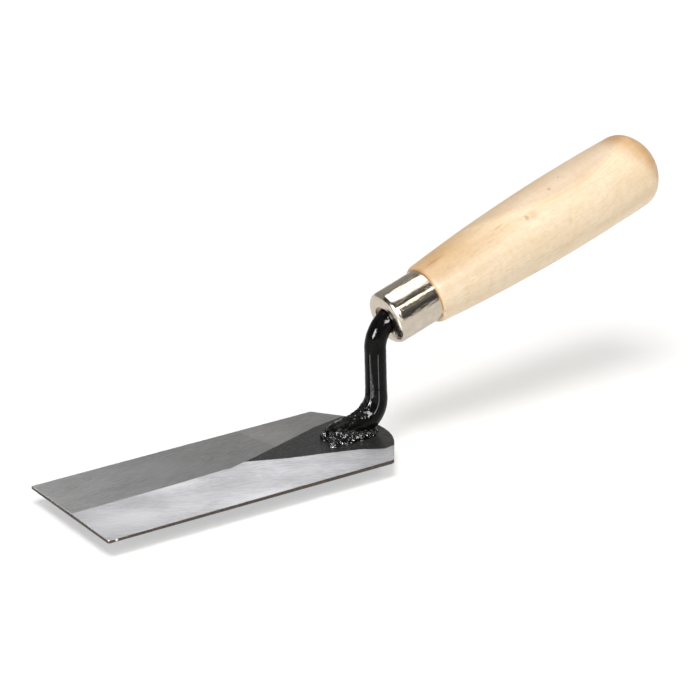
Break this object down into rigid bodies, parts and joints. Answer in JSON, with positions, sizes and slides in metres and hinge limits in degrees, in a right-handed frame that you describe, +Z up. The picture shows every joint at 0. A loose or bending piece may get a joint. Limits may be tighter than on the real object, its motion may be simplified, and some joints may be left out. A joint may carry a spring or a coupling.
{
  "type": "margin trowel",
  "caption": "Rectangular flat blade on a bent round shank, with a metal ferrule and a turned wooden handle, for spreading and pointing mortar.",
  "frame": {"origin": "middle of the blade's sole, halfway along and across the blade", "axes": "+X from the blade's front edge towards the handle, +Z up from the sole, +Y to the left of someone looking along +X from behind the blade"},
  "size_m": [0.2461, 0.0508, 0.0909],
  "materials": {
    "ground_steel": "ground, with fine streaks; black lacquer on the unground triangle",
    "black_lacquer": "gloss black lacquer over forged bar",
    "weld_metal": "lumpy weld under black lacquer",
    "nickel_plate": "bright nickel plate",
    "pale_wood": "smooth, clear satin varnish"
  },
  "bodies": {
    "root": {"blade": "ground_steel", "shank": "black_lacquer", "weld_near_side": "weld_metal", "weld_far_side": "weld_metal", "weld_toe": "weld_metal", "ferrule": "nickel_plate", "handle": "pale_wood"}
  },
  "joints": []
}
